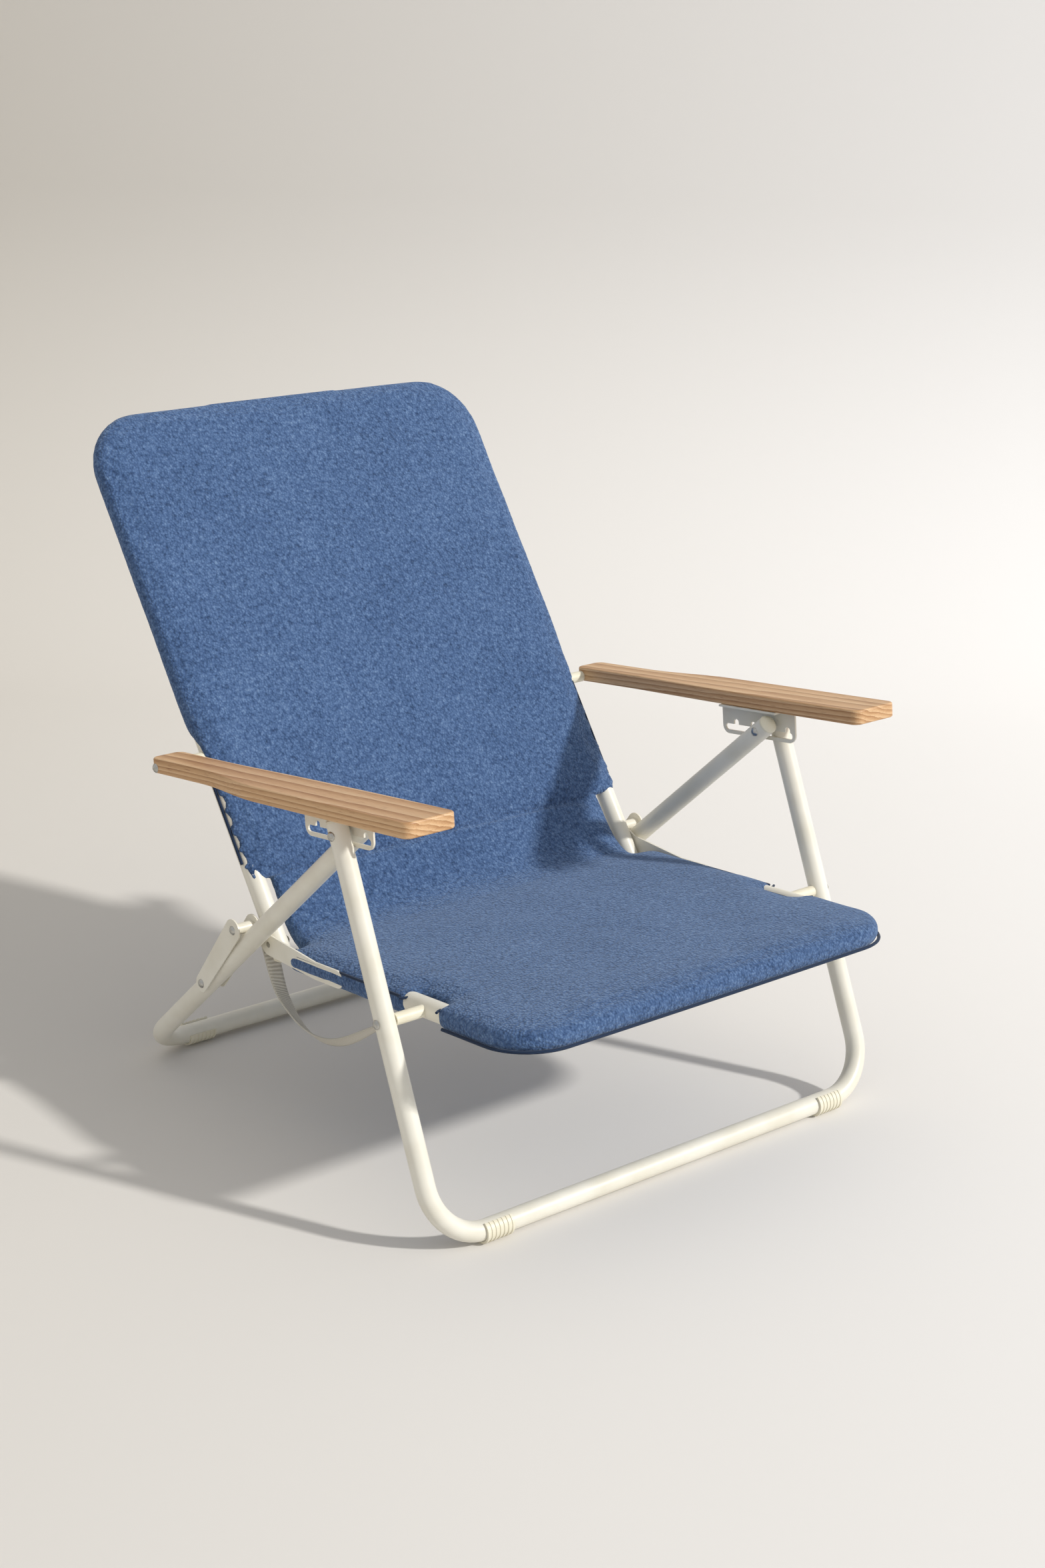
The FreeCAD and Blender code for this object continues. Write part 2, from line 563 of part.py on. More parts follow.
for word, side in SIDES.items():
    # seat pivot: spacer sleeve between the seat tube and the front leg
    sleeve = across("spacer_rod", side, seat_out - 4, front_in - clear, 0, 0, "dims.spacerdia / 2")
    keep(cut("seat_spacer", sleeve, [
        across("spacer_bore", side, seat_out - 10, front_in + 10, 0, 0, hole_r),
        tube_clear("spacer_in", side * dim("seathalf"), 0, "0.02")]), "seat_spacer_" + word, "seat")
    rivet("seat_pivot_rivet_" + word, "seat", side, seat_in, front_out + clear, 0, 0, seat_tube)

    # seat bracket: flat plate on the seat tube, with the back hinge and the link ear
    plate_x = min(side * bracket_x, side * bracket_out)
    keep(strap_plate("seat_bracket", plate_x, dim("bracketwall"),
                     [(bracket_spots[1], 0, 9.0), (bracket_spots[0], 0, 9.0),
                      (hinge_y, hinge_z, 11.0), (ear_y, ear_z, 9.0)],
                     spots + [(hinge_y, hinge_z), (ear_y, ear_z)]), "seat_bracket_" + word, "seat")
    pegs = [across("bracket_peg", side, seat_in + 0.5, bracket_out, y, z) for y, z in spots]
    keep(fuse("bracket_rivets", pegs), "bracket_rivets_" + word, "seat")
    rivet("back_hinge_rivet_" + word, "seat", side, seat_in - clear, bracket_out,
          hinge_y, hinge_z, head_out=False)

    # swinging link: two flat plates on a barrel at the ear
    link_len = link_run.Length
    ends = [(0, 0, dim("linkwide") / 2), (link_len, 0, dim("earwide") / 2)]
    for label, near in (("outer", link_out_x), ("inner", link_in_x)):
        low = min(side * near, side * (near + dim("linkwall")))
        keep(strap_plate("link_plate", low, dim("linkwall"), ends, [(0, 0), (link_len, 0)]),
             "link_%s_plate_%s" % (label, word), "links")
    barrel = across("barrel_rod", side, link_in_x + dim("linkwall"), link_out_x, link_len, 0,
                    "dims.barreldia / 2")
    bore = across("barrel_bore", side, link_in_x, link_out_x + 5, link_len, 0, hole_r)
    keep(cut("link_barrel", barrel, [bore]), "link_barrel_" + word, "links")
    link_face = link_out_x + dim("linkwall")
    rivet("link_ear_rivet_" + word, "links", side, link_in_x, link_face, link_len, 0,
          head_in=False)
    rivet("link_foot_rivet_" + word, "rear_legs", side, link_in_x, link_face + clear,
          link_hole, 0, head_in=False)

    # latch rivet of the crossed legs; each half stops short of the latch plate's layer
    rivet("latch_rivet_outer_" + word, "front_legs", side, front_in, front_out, front_len, 0,
          bed_out=front_tube, head_in=False)
    rivet("latch_rivet_inner_" + word, "rear_legs", side, dim("rearhalf") - tube_r, rear_out,
          rear_len, 0, bed_in=rear_tube, head_out=False)

    # armrest: a shaped beech board, with its latch plate screwed on from below
    keep(armrest(side), "armrest_" + word, "arms")
    keep(latch_plate(side), "latch_plate_" + word, "arms")
    keep(latch_screws(side), "latch_screws_" + word, "arms")
    spacer = across("arm_spacer_rod", side, seat_out - 4, dim("arminrear") - clear,
                    dim("armpivot"), 0, "dims.spacerdia / 2")
    keep(cut("arm_spacer", spacer, [
        across("arm_spacer_bore", side, seat_out - 10, dim("arminrear") + 5, dim("armpivot"), 0, hole_r),
        tube_clear("arm_spacer_in", side * dim("seathalf"), 0, "0.02", dim("armpivot"))]),
        "arm_spacer_" + word, "back")
    rivet("arm_rivet_" + word, "back", side, seat_in - clear, dim("armoutrear") + clear,
          dim("armpivot"), 0)

    # plastic parts on the tubes
    keep(foot_clip(side, dim("fronthalf"), -1), "front_foot_clip_" + word, "front_legs")
    keep(foot_clip(side, dim("rearhalf"), 1), "rear_foot_clip_" + word, "rear_legs")
    keep(tube_cap(side, dim("fronthalf"), front_len + dim("legover"), 1), "front_leg_plug_" + word,
         "front_legs")
    keep(tube_cap(side, dim("rearhalf"), rear_len + dim("legover"), 1), "rear_leg_cap_" + word,
         "rear_legs")
    keep(tube_cap(side, dim("seathalf"), dim("seatrear"), 1), "seat_tube_plug_" + word, "seat")
    keep(tube_cap(side, dim("seathalf"), -dim("backfoot"), -1), "back_tube_plug_" + word, "back")

keep(seat_cover(), "seat_cover", "seat")
keep(carry_strap(), "carry_strap", "seat")
keep(back_cover(), "back_cover", "back")

# ---- stand the chair on the floor, centred on the origin --------------------
doc.recompute()
box = FreeCAD.BoundBox()
for obj in nodes:
    box.add(obj.Shape.optimalBoundingBox())
centring = place(-(box.XMin + box.XMax) / 2, -(box.YMin + box.YMax) / 2, -box.ZMin)
for obj in nodes:
    obj.Placement = centring.multiply(obj.Placement)
doc.recompute()

for obj in doc.Objects:
    if "Invalid" in obj.State or "Error" in obj.State:
        raise RuntimeError("%s (%s) did not build: %s" % (obj.Name, obj.Label, obj.State))
for obj in nodes:
    if obj.Shape.isNull() or not obj.Shape.isValid() or obj.Shape.Volume <= 0:
        raise RuntimeError("%s has no valid shape" % obj.Label)

os.makedirs("parts", exist_ok=True)
for obj in nodes:
    obj.Shape.exportStep("parts/%s.step" % obj.Label)
    print("%-26s %9.0f mm3 %d solids" % (obj.Label, obj.Shape.Volume, len(obj.Shape.Solids)))
print("size %.1f x %.1f x %.1f" % (box.XLength, box.YLength, box.ZLength))
print("shift", tuple(round(v, 3) for v in centring.Base))
for name, point in (("seat_pivot", seat_pivot), ("leg_pivot", pivot), ("hinge", hinge),
                    ("link_foot", link_foot), ("ear", ear), ("arm_hinge", arm_hinge)):
    moved = centring.multVec(point)
    print(name, round(moved.y, 3), round(moved.z, 3))
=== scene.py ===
import json
import math
import bpy
import numpy as np
from mathutils import Matrix, Vector, noise


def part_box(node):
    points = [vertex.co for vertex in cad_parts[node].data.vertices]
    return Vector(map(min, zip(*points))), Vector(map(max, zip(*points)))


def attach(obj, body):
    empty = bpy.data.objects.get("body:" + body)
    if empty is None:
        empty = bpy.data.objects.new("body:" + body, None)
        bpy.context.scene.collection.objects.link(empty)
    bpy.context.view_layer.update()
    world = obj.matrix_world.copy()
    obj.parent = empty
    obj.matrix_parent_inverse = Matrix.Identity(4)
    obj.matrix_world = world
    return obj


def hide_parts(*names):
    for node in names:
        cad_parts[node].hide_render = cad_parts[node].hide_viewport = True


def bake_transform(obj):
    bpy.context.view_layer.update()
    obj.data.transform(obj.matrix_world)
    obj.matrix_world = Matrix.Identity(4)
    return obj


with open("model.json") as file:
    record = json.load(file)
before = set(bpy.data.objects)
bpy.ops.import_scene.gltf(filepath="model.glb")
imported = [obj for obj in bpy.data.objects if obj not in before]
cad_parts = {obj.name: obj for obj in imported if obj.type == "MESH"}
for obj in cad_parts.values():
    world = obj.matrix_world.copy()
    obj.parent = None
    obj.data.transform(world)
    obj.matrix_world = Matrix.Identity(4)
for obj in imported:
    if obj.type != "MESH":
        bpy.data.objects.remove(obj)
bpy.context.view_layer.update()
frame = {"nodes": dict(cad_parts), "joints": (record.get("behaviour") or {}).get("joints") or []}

# ---- Where the viewer stands --------------------------------------------------
# Somebody stands in front of the chair, off its left armrest, and looks down
# at it with a slightly long lens.
viewer = bpy.data.objects.new("viewer", bpy.data.cameras.new("viewer"))
bpy.context.collection.objects.link(viewer)
bpy.context.scene.camera = viewer
viewer.data.lens, viewer.data.sensor_width = 59.84, 36.0
yaw, pitch, roll = (math.radians(a) for a in (40.86, -18.63, 1.63))
gaze = Vector((math.sin(yaw) * math.cos(pitch), math.cos(yaw) * math.cos(pitch), math.sin(pitch)))
level = Vector((math.cos(yaw), -math.sin(yaw), 0.0))
upright = level.cross(gaze)
right = level * math.cos(roll) + upright * math.sin(roll)
overhead = upright * math.cos(roll) - level * math.sin(roll)
turned = Matrix((right, overhead, -gaze)).transposed().to_4x4()
viewer.matrix_world = Matrix.Translation((-1.6234, -1.9457, 1.1743)) @ turned
bpy.context.scene.view_settings.view_transform = "Standard"

# ---- Floor and backdrop ---------------------------------------------------------
# A wide roll of warm white studio paper lies on the floor and curves up into a
# wall behind the chair.  It is matt, with painted shade making it a little darker to the left.


def linear(hex_colour):
    """An sRGB hex colour as linear RGBA."""
    parts = [int(hex_colour[i:i + 2], 16) / 255 for i in (1, 3, 5)]
    return tuple(c / 12.92 if c <= 0.04045 else ((c + 0.055) / 1.055) ** 2.4
                 for c in parts) + (1.0,)


def add_node(material, kind, inputs=None, **settings):
    """Adds a node, with its settings and its values or links."""
    tree = material.node_tree
    node = tree.nodes.new(kind)
    for name, setting in settings.items():
        setattr(node, name, setting)
    for socket, value in (inputs or {}).items():
        if isinstance(value, bpy.types.NodeSocket):
            tree.links.new(value, node.inputs[socket])
        else:
            node.inputs[socket].default_value = value
    return node


def new_finish(name, **sockets):
    """A material and its shader, with plain values set on the shader's sockets."""
    material = bpy.data.materials.new(name)
    material.use_nodes = True
    shader = material.node_tree.nodes["Principled BSDF"]
    for socket, value in sockets.items():
        shader.inputs[socket.replace("_", " ")].default_value = value
    return material, shader


def blend_colours(material, factor, stops):
    """Colours read off a ramp, from (place, hex colour) pairs."""
    ramp = add_node(material, "ShaderNodeValToRGB", {"Fac": factor})
    while len(ramp.color_ramp.elements) < len(stops):
        ramp.color_ramp.elements.new(0.5)
    for element, (place, colour) in zip(ramp.color_ramp.elements, stops):
        element.position, element.color = place, linear(colour)
    return ramp.outputs["Color"]


def mesh_piece(name, points, faces, smooth=True):
    """A mesh object made of points in metres."""
    mesh = bpy.data.meshes.new(name)
    mesh.from_pydata([tuple(p) for p in points], [], faces)
    mesh.update()
    mesh.polygons.foreach_set("use_smooth", [smooth] * len(mesh.polygons))
    piece = bpy.data.objects.new(name, mesh)
    bpy.context.collection.objects.link(piece)
    return piece


away = Vector((math.sin(yaw), math.cos(yaw), 0.0))
profile = [(-6.0, 0.0), (1.3, 0.0)]
profile += [(1.3 + 0.7 * math.sin(a), 0.7 - 0.7 * math.cos(a))
            for a in (math.radians(d) for d in range(6, 91, 6))]
profile += [(2.0, 6.0)]
paper_points = [away * depth + level * span + Vector((0, 0, height))
                for depth, height in profile for span in (-8.0, 8.0)]
paper = mesh_piece("studio_paper", paper_points,
                   [(2 * i, 2 * i + 1, 2 * i + 3, 2 * i + 2) for i in range(len(profile) - 1)])
# Matt paper: no gloss, and a broad gradient of painted shade, darker to the left where the light falls
# off.
paper_finish, paper_shader = new_finish("matt_studio_paper", Roughness=0.85, Specular_IOR_Level=0.15)
spot = add_node(paper_finish, "ShaderNodeTexCoord").outputs["Object"]
across_paper = add_node(paper_finish, "ShaderNodeVectorMath", {0: spot, 1: tuple(level)},
                        operation="DOT_PRODUCT").outputs["Value"]
# painted shade: the paper's colour darkens towards the left, as if the light fell off there
painted_falloff_shade = add_node(paper_finish, "ShaderNodeMapRange",
                {"Value": across_paper, "From Min": -0.9, "From Max": 0.9}).outputs["Result"]
paper_finish.node_tree.links.new(
    blend_colours(paper_finish, painted_falloff_shade, [(0.0, "#cdc8c0"), (1.0, "#efedeb")]),
    paper_shader.inputs["Base Color"])
paper.data.materials.append(paper_finish)

# ---- Studio light ---------------------------------------------------------------
# One lamp stands high in front and to the right, small enough for a clear
# shadow, and the pale room fills the rest.
lamp = bpy.data.objects.new("key_lamp", bpy.data.lights.new("key_lamp", "SUN"))
lamp.data.energy, lamp.data.angle = 2.7, math.radians(3.5)
lamp.data.color = (1.0, 0.985, 0.955)
lamp.rotation_euler = Vector((0.437, -0.717, 0.543)).to_track_quat("Z", "Y").to_euler()
bpy.context.collection.objects.link(lamp)
room = bpy.data.worlds.new("pale_room")
room.use_nodes = True
room.node_tree.nodes["Background"].inputs["Color"].default_value = (0.975, 0.985, 1.0, 1.0)
room.node_tree.nodes["Background"].inputs["Strength"].default_value = 0.62
bpy.context.scene.world = room

# ---- Tube frames and steel plates -------------------------------------------------
# Four bent steel tubes carry the chair, with flat plates and links riveted to
# them.  All of it is powder coated ivory after bending and punching.


def paint_nodes(material, chosen):
    """Puts one material on every CAD piece whose name passes the test."""
    for name, node in frame["nodes"].items():
        if chosen(name):
            node.data.materials.clear()
            node.data.materials.append(material)


def rough_surface(material, shader, source, strength, depth):
    """Bump from a texture, with its real depth in metres."""
    bump = add_node(material, "ShaderNodeBump",
                    {"Height": source, "Strength": strength, "Distance": depth})
    material.node_tree.links.new(bump.outputs["Normal"], shader.inputs["Normal"])


# Powder coat: satin, with the fine orange peel of baked powder about 1.5 mm
# across, and slightly dirtier in soft random patches about 4 cm across.
coat, coat_shader = new_finish("ivory_powder_coat", Roughness=0.36, IOR=1.5)
coat_spot = add_node(coat, "ShaderNodeTexCoord").outputs["Object"]
peel = add_node(coat, "ShaderNodeTexNoise", {"Vector": coat_spot, "Scale": 1 / 0.0015, "Detail": 2.0})
soil = add_node(coat, "ShaderNodeTexNoise", {"Vector": coat_spot, "Scale": 1 / 0.04, "Detail": 4.0})
coat.node_tree.links.new(
    blend_colours(coat, soil.outputs["Fac"], [(0.3, "#ddd8c8"), (0.62, "#e6e2d5")]),
    coat_shader.inputs["Base Color"])
rough_surface(coat, coat_shader, peel.outputs["Fac"], 0.25, 0.0001)
paint_nodes(coat, lambda n: n.endswith("_frame") or "plate" in n or "bracket_left" in n
            or "bracket_right" in n or "barrel" in n)

# ---- Rivets and screws --------------------------------------------------------------
# Domed rivets and small wood screws hold the pivots, the brackets and the
# latch plates.  They are steel with bright zinc plating.

# Zinc plate: metallic and a little dull, brushed in use, with grey spangle about 2 mm wide.
zinc, zinc_shader = new_finish("bright_zinc_plate", Metallic=1.0, Roughness=0.32)
zinc_spot = add_node(zinc, "ShaderNodeTexCoord").outputs["Object"]
spangle = add_node(zinc, "ShaderNodeTexVoronoi", {"Vector": zinc_spot, "Scale": 1 / 0.002})
zinc.node_tree.links.new(
    blend_colours(zinc, spangle.outputs["Distance"], [(0.0, "#c9c8c3"), (0.8, "#b3b2ad")]),
    zinc_shader.inputs["Base Color"])
scuff = add_node(zinc, "ShaderNodeTexNoise", {"Vector": zinc_spot, "Scale": 1 / 0.0008})
rough_surface(zinc, zinc_shader, scuff.outputs["Fac"], 0.3, 0.0001)
paint_nodes(zinc, lambda n: "rivet" in n or "screw" in n)

# ---- Foot clips, caps and spacers ------------------------------------------------------
# Ribbed clips under the floor bars, plugs in the tube ends and the collars on
# the pivots are moulded in ivory polypropylene.

# Polypropylene: waxy and yellower than the coat, with a spark-eroded grain of 0.4 mm.
moulded, moulded_shader = new_finish("ivory_polypropylene", Roughness=0.42, IOR=1.49,
                                     Subsurface_Weight=0.08)
moulded_shader.inputs["Subsurface Radius"].default_value = (0.003, 0.0025, 0.002)
moulded_spot = add_node(moulded, "ShaderNodeTexCoord").outputs["Object"]
grain = add_node(moulded, "ShaderNodeTexNoise", {"Vector": moulded_spot, "Scale": 1 / 0.0006})
cast = add_node(moulded, "ShaderNodeTexNoise", {"Vector": moulded_spot, "Scale": 1 / 0.02})
moulded.node_tree.links.new(
    blend_colours(moulded, cast.outputs["Fac"], [(0.3, "#ddd6bf"), (0.7, "#e4dfcc")]),
    moulded_shader.inputs["Base Color"])
rough_surface(moulded, moulded_shader, grain.outputs["Fac"], 0.2, 0.0001)
paint_nodes(moulded, lambda n: "clip" in n or "cap" in n or "plug" in n or "spacer" in n)

# ---- Armrests ---------------------------------------------------------------------------
# Each armrest is one shaped beech board, its edges rounded over, sanded and
# oiled.  The grain runs along it and it widens towards the front.

# Beech: pinkish tan, with growth rings as dark lengthwise lines 2 to 3 mm apart on
# the edges, broad faint arches on top, and short dark pores about 1 mm long.
beech, beech_shader = new_finish("oiled_beech", Roughness=0.46, IOR=1.5)
beech_spot = add_node(beech, "ShaderNodeTexCoord").outputs["Object"]
along_board = add_node(beech, "ShaderNodeMapping", {"Vector": beech_spot})
along_board.inputs["Rotation"].default_value = (math.radians(7.5), 0.0, math.radians(1.5))
stretched = add_node(beech, "ShaderNodeVectorMath",
                     {0: along_board.outputs["Vector"], 1: (1.0, 0.055, 3.4)}, operation="MULTIPLY")
rings = add_node(beech, "ShaderNodeTexWave",
                 {"Vector": stretched.outputs["Vector"], "Scale": 36.0, "Distortion": 3.2,
                  "Detail": 3.0, "Detail Scale": 1.4, "Detail Roughness": 0.6},
                 wave_type="BANDS", bands_direction="DIAGONAL", wave_profile="SAW")
figure = add_node(beech, "ShaderNodeTexNoise",
                  {"Vector": stretched.outputs["Vector"], "Scale": 30.0, "Detail": 4.0})
fibre_space = add_node(beech, "ShaderNodeVectorMath",
                       {0: along_board.outputs["Vector"], 1: (1400.0, 60.0, 1400.0)},
                       operation="MULTIPLY")
fibres = add_node(beech, "ShaderNodeTexNoise",
                  {"Vector": fibre_space.outputs["Vector"], "Scale": 1.0, "Detail": 2.0})
wood_tone = add_node(beech, "ShaderNodeMath",
                     {0: rings.outputs["Fac"], 1: 0.62}, operation="MULTIPLY")
wood_mix = add_node(beech, "ShaderNodeMath",
                    {0: figure.outputs["Fac"], 1: 0.5, 2: wood_tone.outputs["Value"]},
                    operation="MULTIPLY_ADD")
wood_colour = blend_colours(beech, wood_mix.outputs["Value"],
                            [(0.12, "#dcbb92"), (0.5, "#cda478"), (0.8, "#b08458"), (1.0, "#94673f")])
pores = blend_colours(beech, fibres.outputs["Fac"], [(0.28, "#b08a68"), (0.42, "#ffffff")])
wood_final = add_node(beech, "ShaderNodeMix", {0: 0.55, 6: wood_colour, 7: pores},
                      data_type="RGBA", blend_type="MULTIPLY")
beech.node_tree.links.new(wood_final.outputs[2], beech_shader.inputs["Base Color"])
rough_surface(beech, beech_shader, fibres.outputs["Fac"], 0.2, 0.0002)
paint_nodes(beech, lambda n: n.startswith("armrest"))

# ---- Seat cover -----------------------------------------------------------------------
# A sewn sleeve of heathered blue terry over thin wadding goes round the seat
# tubes.  It is cut away round the two pivots, and a thin flap of it turns up
# at the crease to meet the back.
places = {j["name"]: Vector(j["pos_m"]) for j in frame["joints"]}
pivot, hinge = places["front_legs_swing"], places["fold"]
seat_fall, back_lean = math.radians(-5.0), (places["arm_swing"] - hinge)
back_rise = math.atan2(back_lean.z, back_lean.y)


def seat_point(x, a, n):
    """A place on the seat, in millimetres from its pivot: across, rearwards, up."""
    y = a * math.cos(seat_fall) - n * math.sin(seat_fall)
    z = a * math.sin(seat_fall) + n * math.cos(seat_fall)
    return Vector((x / 1000, pivot.y + y / 1000, pivot.z + z / 1000))


def back_point(x, s, n):
    """A place on the back, in millimetres from its hinge: across, up, forwards."""
    y = s * math.cos(back_rise) - n * math.sin(back_rise)
    z = s * math.sin(back_rise) + n * math.cos(back_rise)
    return Vector((x / 1000, hinge.y + y / 1000, hinge.z + z / 1000))


CREASE_RADIUS = 58.0
hinge_on_seat = (hinge - pivot) * 1000
hinge_a = hinge_on_seat.y * math.cos(seat_fall) + hinge_on_seat.z * math.sin(seat_fall)
hinge_n = hinge_on_seat.z * math.cos(seat_fall) - hinge_on_seat.y * math.sin(seat_fall)
crease_turn = back_rise - seat_fall
crease_corner = hinge_a - hinge_n / math.tan(crease_turn)
crease_from = crease_corner - CREASE_RADIUS * math.tan(crease_turn / 2)
crease_long = CREASE_RADIUS * crease_turn


def creased_point(x, t, n):
    """Along the seat, round the crease and up the back."""
    if t <= crease_from:
        return seat_point(x, t, n)
    turn = min((t - crease_from) / CREASE_RADIUS, crease_turn)
    a = crease_from + (CREASE_RADIUS - n) * math.sin(turn)
    up = CREASE_RADIUS - (CREASE_RADIUS - n) * math.cos(turn)
    rest = max(t - crease_from - crease_long, 0.0)
    return seat_point(x, a + rest * math.cos(turn), up + rest * math.sin(turn))


def smooth_step(low, high, value):
    share = min(max((value - low) / (high - low), 0.0), 1.0)
    return share * share * (3 - 2 * share)


def rounded_outline(half_width, front, rear, corners, bow):
    """A closed outline across and along a pad, about 6 mm between points."""
    right_side = []
    (front_r, rear_r) = corners
    for k in range(0, 31):
        x = (half_width(front) - front_r) * k / 30
        right_side.append((x, front + bow * (x / half_width(front)) ** 2))
    lift = right_side[-1][1]
    for k in range(1, 15):
        angle = math.radians(-90 + 90 * k / 14)
        right_side.append((half_width(lift + front_r) - front_r * (1 - math.cos(angle)),
                           lift + front_r * (1 + math.sin(angle))))
    steps = int((rear - rear_r - right_side[-1][1]) / 6)
    start = right_side[-1][1]
    for k in range(1, steps + 1):
        t = start + (rear - rear_r - start) * k / steps
        right_side.append((half_width(t), t))
    for k in range(1, 15):
        angle = math.radians(90 * k / 14)
        right_side.append((half_width(rear) - rear_r * (1 - math.cos(angle)),
                           rear - rear_r * (1 - math.sin(angle))))
    for k in range(29, -1, -1):
        right_side.append(((half_width(rear) - rear_r) * k / 30, rear))
    return right_side + [(-x, t) for x, t in reversed(right_side[1:-1])]


def pad_blank(name, outline, top, under, roll, bend):
    """A closed padded form, rolled over at its edges, from an outline."""
    edge = np.array(outline)
    middle = np.array((0.0, (edge[:, 1].min() + edge[:, 1].max()) / 2))
    shares = [0.0, 0.006, 0.015, 0.03, 0.05, 0.075, 0.11, 0.15, 0.2, 0.28, 0.38, 0.5, 0.62, 0.75, 0.88]
    count, points, rings_at = len(edge), [], {}
    for way in (1, -1):
        for share in shares[(0 if way == 1 else 1):]:
            ring = []
            for flat in middle + (edge - middle) * (1 - share):
                inset = float(np.hypot(*(edge - flat).T).min()) if share else 0.0
                rise = (1 - max(1 - inset / roll, 0.0) ** 2.5) ** 0.4
                high, low = top(*flat), under(*flat)
                centre = (high + low) / 2
                n = centre + rise * ((high if way == 1 else low) - centre)
                ring.append(len(points))
                points.append(bend(flat[0], flat[1], n))
            rings_at[(way, share)] = ring
    faces = []
    for way in (1, -1):
        chain = [rings_at[(1, 0.0)]] + [rings_at[(way, s)] for s in shares[1:]]
        for outer, inner in zip(chain, chain[1:]):
            for i in range(count):
                j = (i + 1) % count
                quad = (outer[i], outer[j], inner[j], inner[i])
                faces.append(quad if way == 1 else quad[::-1])
        hub = len(points)
        points.append(sum((points[i] for i in chain[-1]), Vector()) / count)
        for i in range(count):
            j = (i + 1) % count
            faces.append((chain[-1][i], chain[-1][j], hub) if way == 1
                         else (chain[-1][j], chain[-1][i], hub))
    return mesh_piece(name, points, faces)


def apply_modifiers(piece):
    """Replaces a piece's mesh with what its modifiers make of it."""
    shaped = bpy.data.meshes.new_from_object(
        piece.evaluated_get(bpy.context.evaluated_depsgraph_get()))
    piece.modifiers.clear()
    piece.data = shaped


def stuff(piece, voxel, pressure, most):
    """Fills a cloth form with air for a moment, so that it swells and creases like wadding."""
    remesh = piece.modifiers.new("even_threads", "REMESH")
    remesh.mode, remesh.voxel_size, remesh.use_smooth_shade = "VOXEL", voxel, True
    apply_modifiers(piece)
    count = len(piece.data.vertices)
    before = np.empty(count * 3)
    piece.data.vertices.foreach_get("co", before)
    cloth = piece.modifiers.new("wadding", "CLOTH")
    cloth.settings.quality = 6
    cloth.settings.mass = 0.2
    cloth.settings.use_pressure = True
    cloth.settings.uniform_pressure_force = pressure
    cloth.settings.effector_weights.gravity = 0.0
    cloth.settings.tension_stiffness = cloth.settings.compression_stiffness = 20.0
    cloth.settings.bending_stiffness = 0.6
    for step in range(1, 21):
        bpy.context.scene.frame_set(step)
        bpy.context.evaluated_depsgraph_get()
    swollen = piece.evaluated_get(bpy.context.evaluated_depsgraph_get()).to_mesh()
    after = np.empty(count * 3)
    swollen.vertices.foreach_get("co", after)
    moved = (after - before).reshape(-1, 3)
    far = np.linalg.norm(moved, axis=1, keepdims=True)
    moved *= np.minimum(1.0, most / np.maximum(far, 1e-9))
    outward = np.empty(count * 3)
    piece.data.vertices.foreach_get("normal", outward)
    outward = outward.reshape(-1, 3)
    # the cloth may swell and creep along its surface, but not draw inwards
    inwards = np.minimum((moved * outward).sum(axis=1, keepdims=True), 0.0)
    moved -= inwards * outward
    piece.modifiers.clear()
    piece.data.vertices.foreach_set("co", (before.reshape(-1, 3) + moved).ravel())
    bpy.context.scene.frame_set(1)
    finer = piece.modifiers.new("finer_threads", "SUBSURF")
    finer.levels = finer.render_levels = 1
    apply_modifiers(piece)
    piece.data.polygons.foreach_set("use_smooth", [True] * len(piece.data.polygons))


def remember_places(piece):
    """Keeps each point's place at rest, so that the pile stays on the cloth."""
    spots = np.empty(len(piece.data.vertices) * 3, dtype=np.float32)
    piece.data.vertices.foreach_get("co", spots)
    piece.data.attributes.new("at_rest", "FLOAT_VECTOR", "POINT").data.foreach_set("vector", spots)


SEAT_FRONT, SEAT_HALF, FLAP_HALF = -150.5, 247.5, 219.0
NOTCH_HALF, NOTCH_IN = 25.0, 226.5
side_to = hinge_a - 26.0
flap_to = crease_from + crease_long + 54.0


def seat_half_width(t):
    wide = SEAT_HALF + 0.5 * smooth_step(0, side_to, t)
    narrow = smooth_step(side_to - 8, side_to, t)
    notch = 1 - smooth_step(NOTCH_HALF - 6, NOTCH_HALF + 3, abs(t))
    wide = wide + (FLAP_HALF - wide) * narrow
    return wide + (NOTCH_IN - wide) * notch


def seat_top(x, t):
    crown = 1.5 * (1 - (x / 250) ** 2) - 1.0 * smooth_step(120, 230, t)
    ripple = 0.7 + 1.3 * noise.noise(Vector((x / 48, t / 60, 1.7)))
    thin = smooth_step(crease_from + 30, flap_to, t)
    return 11.2 + crown + ripple - 4.0 * thin


def seat_under(x, t):
    return -12.2 + 8.0 * smooth_step(crease_from, flap_to, t) + 0.8 * noise.noise(
        Vector((x / 60, t / 50, 9.1)))


seat_sleeve = pad_blank("seat_cover_sleeve",
                        rounded_outline(seat_half_width, SEAT_FRONT, flap_to, (54.0, 6.0), 1.5),
                        seat_top, seat_under, 16.0, creased_point)
stuff(seat_sleeve, 0.005, 3.0, 0.0035)
remember_places(seat_sleeve)

# Terry cloth: uncut cotton loops 2 to 3 mm across in two blues twisted together,
# so it is mottled and soft, with a light sheen and no gloss.
terry, terry_shader = new_finish("blue_terry_cloth", Roughness=0.95, Specular_IOR_Level=0.1,
                                 Sheen_Weight=0.35, Sheen_Roughness=0.6)
terry_shader.inputs["Sheen Tint"].default_value = linear("#b9cbe2")
terry_spot = add_node(terry, "ShaderNodeAttribute", attribute_name="at_rest").outputs["Vector"]
heather = add_node(terry, "ShaderNodeTexNoise",
                   {"Vector": terry_spot, "Scale": 1 / 0.0045, "Detail": 5.0, "Roughness": 0.72})
worn = add_node(terry, "ShaderNodeTexNoise", {"Vector": terry_spot, "Scale": 1 / 0.09, "Detail": 3.0})
loops = add_node(terry, "ShaderNodeTexVoronoi", {"Vector": terry_spot, "Scale": 1 / 0.0026})
